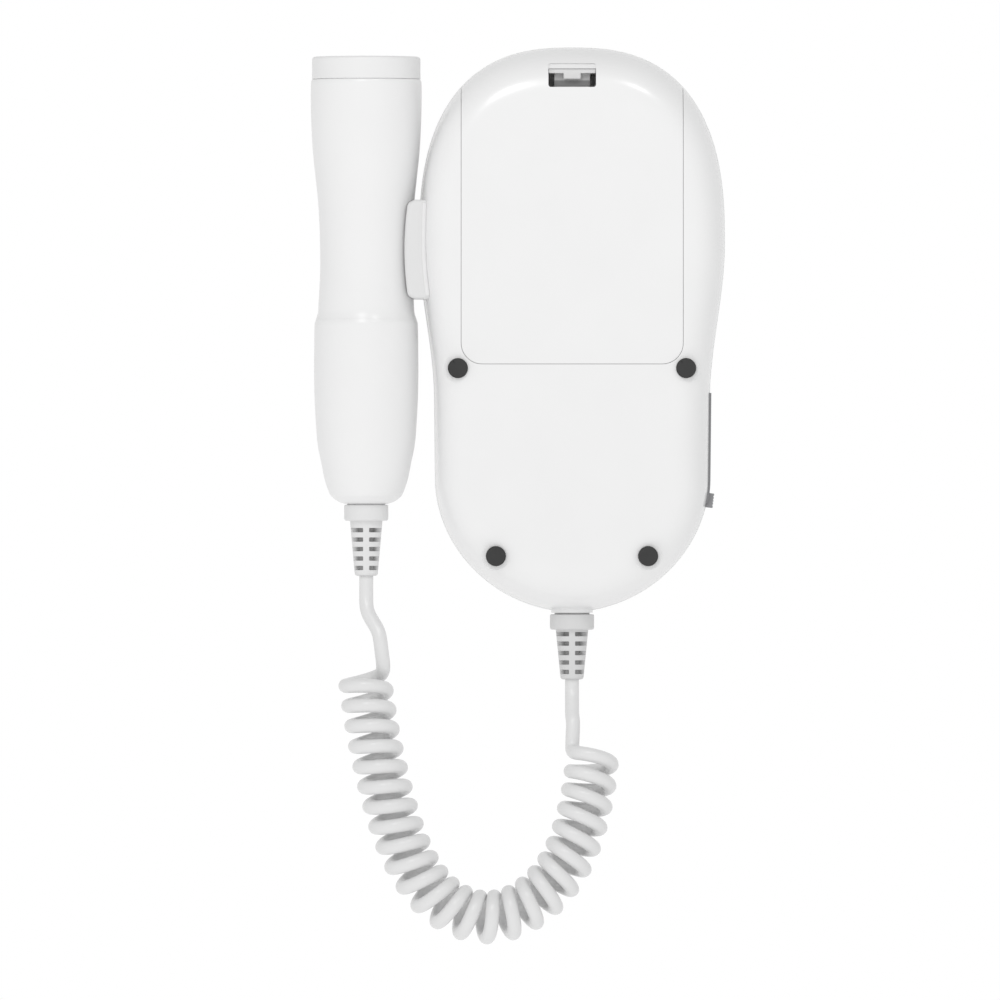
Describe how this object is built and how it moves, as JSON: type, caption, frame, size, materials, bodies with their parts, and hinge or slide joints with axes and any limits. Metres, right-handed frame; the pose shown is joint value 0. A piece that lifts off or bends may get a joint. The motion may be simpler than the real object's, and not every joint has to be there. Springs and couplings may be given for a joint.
{
  "type": "fetal doppler",
  "caption": "Handheld fetal doppler: rounded hand unit on rubber feet, round probe in a side cradle, curly cord between them, sliding battery cover.",
  "frame": {"origin": "centre of the box round the hand unit, its strain relief and the clipped probe, on the surface that its rubber feet stand on", "axes": "+Z out of the display side, away from the feet; +Y towards the top end, where the probe's face points; +X from the hand unit towards the probe"},
  "size_m": [0.0994, 0.2151, 0.0335],
  "materials": {
    "shell_white": "satin white moulded plastic",
    "probe_white": "satin white moulded plastic",
    "cap_white": "satin off-white plastic",
    "cell_jacket": "plain printed jacket, weighed as a cell",
    "contact_steel": "nickel-plated spring steel",
    "screw_steel": "zinc-plated",
    "foot_rubber": "matt dark rubber",
    "board_green": "solder mask",
    "display_dark": "dark frame",
    "window_clear": "clear acrylic",
    "button_grey": "soft grey plastic",
    "switch_black": "black plastic",
    "speaker_black": "black paper cone",
    "panel_grey": "grey plastic",
    "knob_grey": "ridged grey plastic",
    "pot_steel": "pressed steel",
    "jack_black": "black plastic",
    "relief_white": "flexible off-white moulding",
    "cord_white": "flexible off-white jacket",
    "crystal_ceramic": "piezo ceramic",
    "backing_grey": "filled epoxy"
  },
  "bodies": {
    "root": {"rear_shell": "shell_white", "front_shell": "shell_white", "probe_cradle": "shell_white", "battery_cell_left": "cell_jacket", "battery_cell_middle": "cell_jacket", "battery_cell_right": "cell_jacket", "battery_spring_left": "contact_steel", "battery_spring_middle": "contact_steel", "battery_spring_right": "contact_steel", "battery_plate_lower_left": "contact_steel", "battery_plate_lower_middle": "contact_steel", "battery_plate_lower_right": "contact_steel", "battery_plate_upper_left": "contact_steel", "battery_plate_upper_middle": "contact_steel", "battery_plate_upper_right": "contact_steel", "case_screw_upper_left": "screw_steel", "case_screw_upper_right": "screw_steel", "case_screw_lower_left": "screw_steel", "case_screw_lower_right": "screw_steel", "rubber_foot_upper_left": "foot_rubber", "rubber_foot_upper_right": "foot_rubber", "rubber_foot_lower_left": "foot_rubber", "rubber_foot_lower_right": "foot_rubber", "main_board": "board_green", "display_module": "display_dark", "display_window": "window_clear", "power_switch": "switch_black", "mode_switch": "switch_black", "speaker": "speaker_black", "side_panel": "panel_grey", "volume_slider_pot": "pot_steel", "headphone_jack": "jack_black", "main_strain_relief": "relief_white", "cord_lead_main": "cord_white", "cord_curls": "cord_white", "cord_lead_probe": "cord_white"},
    "cover": {"battery_cover": "shell_white"},
    "latch": {"cover_latch": "shell_white"},
    "power_button": {"power_button": "button_grey"},
    "mode_button": {"mode_button": "button_grey"},
    "volume_knob": {"volume_knob": "knob_grey"},
    "probe": {"probe_barrel": "probe_white", "probe_grip": "probe_white", "probe_face_cap": "cap_white", "crystal_left": "crystal_ceramic", "crystal_right": "crystal_ceramic", "probe_backing": "backing_grey", "probe_board": "board_green", "probe_strain_relief": "relief_white"}
  },
  "joints": [
    {"name": "cover_slide", "type": "slide", "parent": "root", "child": "cover", "axis": [0, 1, 0], "range_m": [0, 0.078]},
    {"name": "latch_draw", "type": "slide", "parent": "cover", "child": "latch", "axis": [0, 0, -1], "range_m": [0, 0.0009], "stiffness_N_per_m": 600, "springref_m": -0.0005},
    {"name": "power_press", "type": "slide", "parent": "root", "child": "power_button", "axis": [0, 0, -1], "range_m": [0, 0.0007], "stiffness_N_per_m": 800, "springref_m": -0.0006},
    {"name": "mode_press", "type": "slide", "parent": "root", "child": "mode_button", "axis": [0, 0, -1], "range_m": [0, 0.0007], "stiffness_N_per_m": 800, "springref_m": -0.0006},
    {"name": "volume_slide", "type": "slide", "parent": "root", "child": "volume_knob", "axis": [-0.0451, 0.999, 0], "range_m": [0, 0.013]},
    {"name": "probe_unclip", "type": "slide", "parent": "root", "child": "probe", "axis": [1, 0, 0], "range_m": [0, 0.012], "deforming": ["cord_lead_main", "cord_curls", "cord_lead_probe"]}
  ]
}
